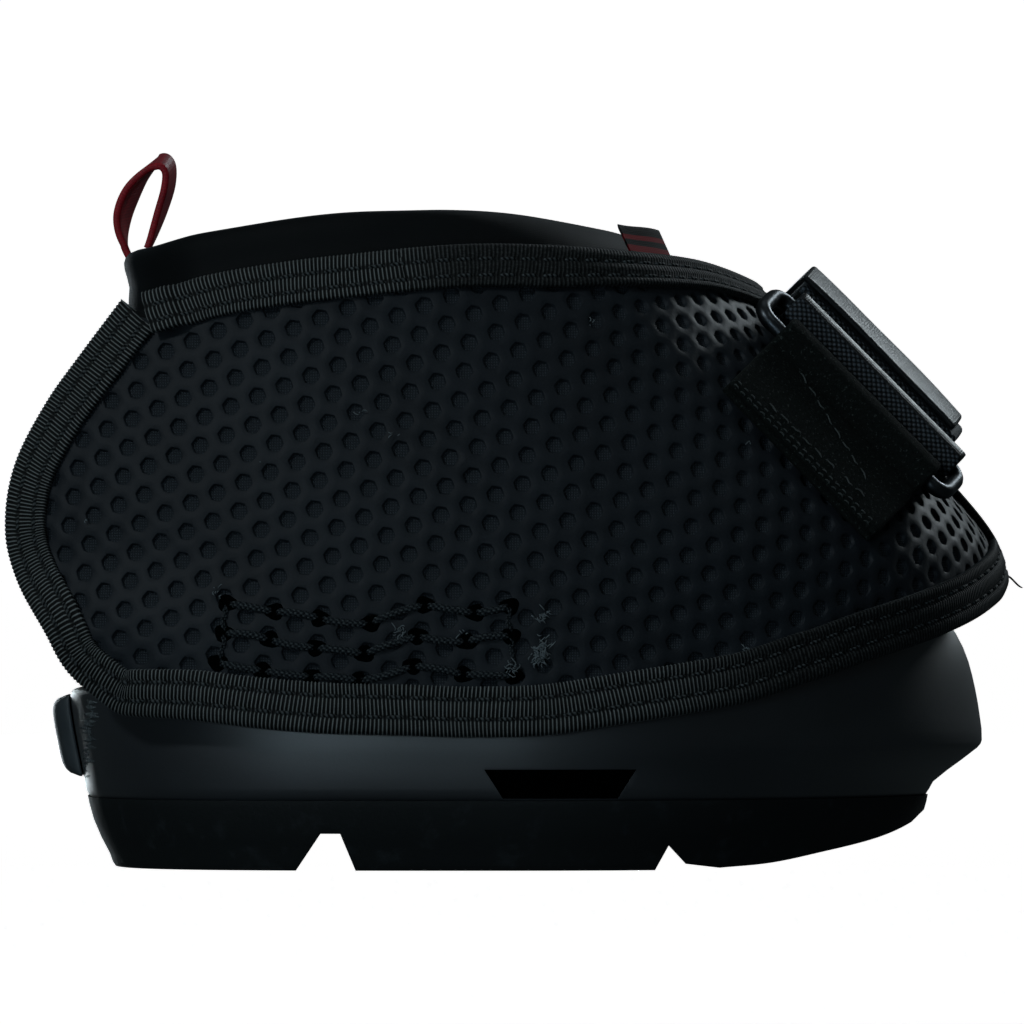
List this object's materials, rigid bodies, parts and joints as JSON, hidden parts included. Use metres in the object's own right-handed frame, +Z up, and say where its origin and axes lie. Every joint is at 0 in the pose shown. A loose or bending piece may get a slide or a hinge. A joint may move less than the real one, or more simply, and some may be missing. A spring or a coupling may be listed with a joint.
{
  "type": "horse hoof boot",
  "caption": "Hoof boot for a horse: moulded sole cup, honeycomb fabric upper with folding front flaps, padded collar, ring and hook-and-loop strap, heel pull loop.",
  "frame": {"origin": "on the ground, on the middle tread lug's bottom face, under the middle of the boot's width", "axes": "+X towards the toe, -Y towards the boot's right side, +Z up"},
  "size_m": [0.1653, 0.151, 0.1161],
  "materials": {
    "sole_rubber": "matt moulded rubber",
    "shell_plastic": "satin moulded urethane",
    "honeycomb": "rubbery fabric pressed into a honeycomb of pits",
    "lining": "smooth knitted lining",
    "binding": "ribbed binding tape",
    "thread": "heavy braided thread",
    "neoprene": "smooth padded neoprene",
    "tab_fabric": "woven label tape with plain stripes",
    "pile": "dense pile of hook-and-loop tape",
    "webbing": "woven webbing",
    "strap_skin": "smooth coated cover with a soft gloss",
    "wire": "bent steel wire",
    "red_ribbon": "woven red ribbon"
  },
  "bodies": {
    "root": {"outsole": "sole_rubber", "sole_shell": "shell_plastic", "heel_bumper": "sole_rubber", "right_panel": "honeycomb", "left_panel": "honeycomb", "right_lining": "lining", "left_lining": "lining", "right_rear_tape": "binding", "left_rear_tape": "binding", "right_top_tape": "binding", "left_top_tape": "binding", "right_bottom_tape": "binding", "left_bottom_tape": "binding", "right_stitch_box": "thread", "left_stitch_box": "thread", "collar_back": "neoprene", "heel_gusset": "neoprene"},
    "right_flap": {"right_flap": "honeycomb", "right_flap_lining": "lining", "right_flap_top_tape": "binding", "right_flap_bottom_tape": "binding", "right_flap_front_tape": "binding", "right_collar_front": "neoprene", "size_tab": "tab_fabric", "ring_tab": "pile", "right_hook_patch": "pile"},
    "left_flap": {"left_flap": "honeycomb", "left_flap_lining": "lining", "left_flap_top_tape": "binding", "left_flap_bottom_tape": "binding", "left_flap_front_tape": "binding", "left_collar_front": "neoprene", "left_loop_patch": "pile", "left_strap_patch": "pile"},
    "ring": {"ring": "wire"},
    "strap": {"strap_base": "webbing", "strap_loop_strip": "pile"},
    "tail": {"strap_tail": "webbing", "tail_hook_pad": "pile", "strap_cover": "strap_skin"},
    "pull_loop": {"pull_loop": "red_ribbon"}
  },
  "joints": [
    {"name": "right_flap_fold", "type": "hinge", "parent": "root", "child": "right_flap", "pos_m": [0.03088, -0.07018, 0.052], "axis": [0.5107, -0.2529, -0.8217], "range_deg": [0, 75]},
    {"name": "left_flap_fold", "type": "hinge", "parent": "root", "child": "left_flap", "pos_m": [0.03088, 0.07018, 0.052], "axis": [-0.5107, -0.2529, 0.8217], "range_deg": [0, 42]},
    {"name": "ring_swing", "type": "hinge", "parent": "right_flap", "child": "ring", "pos_m": [0.05149, -0.03838, 0.07551], "axis": [0.7035, 0, -0.7107], "range_deg": [0, 30]},
    {"name": "strap_swing", "type": "hinge", "parent": "ring", "child": "strap", "pos_m": [0.05446, -0.02996, 0.07845], "axis": [0.7035, 0, -0.7107], "range_deg": [0, 70]},
    {"name": "tail_peel", "type": "hinge", "parent": "strap", "child": "tail", "pos_m": [0.0586, -0.02567, 0.08255], "axis": [0.7035, 0, -0.7107], "range_deg": [0, 100]},
    {"name": "pull_loop_sway", "type": "hinge", "parent": "root", "child": "pull_loop", "pos_m": [-0.06125, 0, 0.10006], "axis": [0, 1, 0], "range_deg": [-10, 10], "stiffness_Nm_per_rad": 0.002}
  ],
  "couplings": [
    {"joint": "left_flap_fold", "follows": "right_flap_fold", "ratio": 0.55}
  ]
}
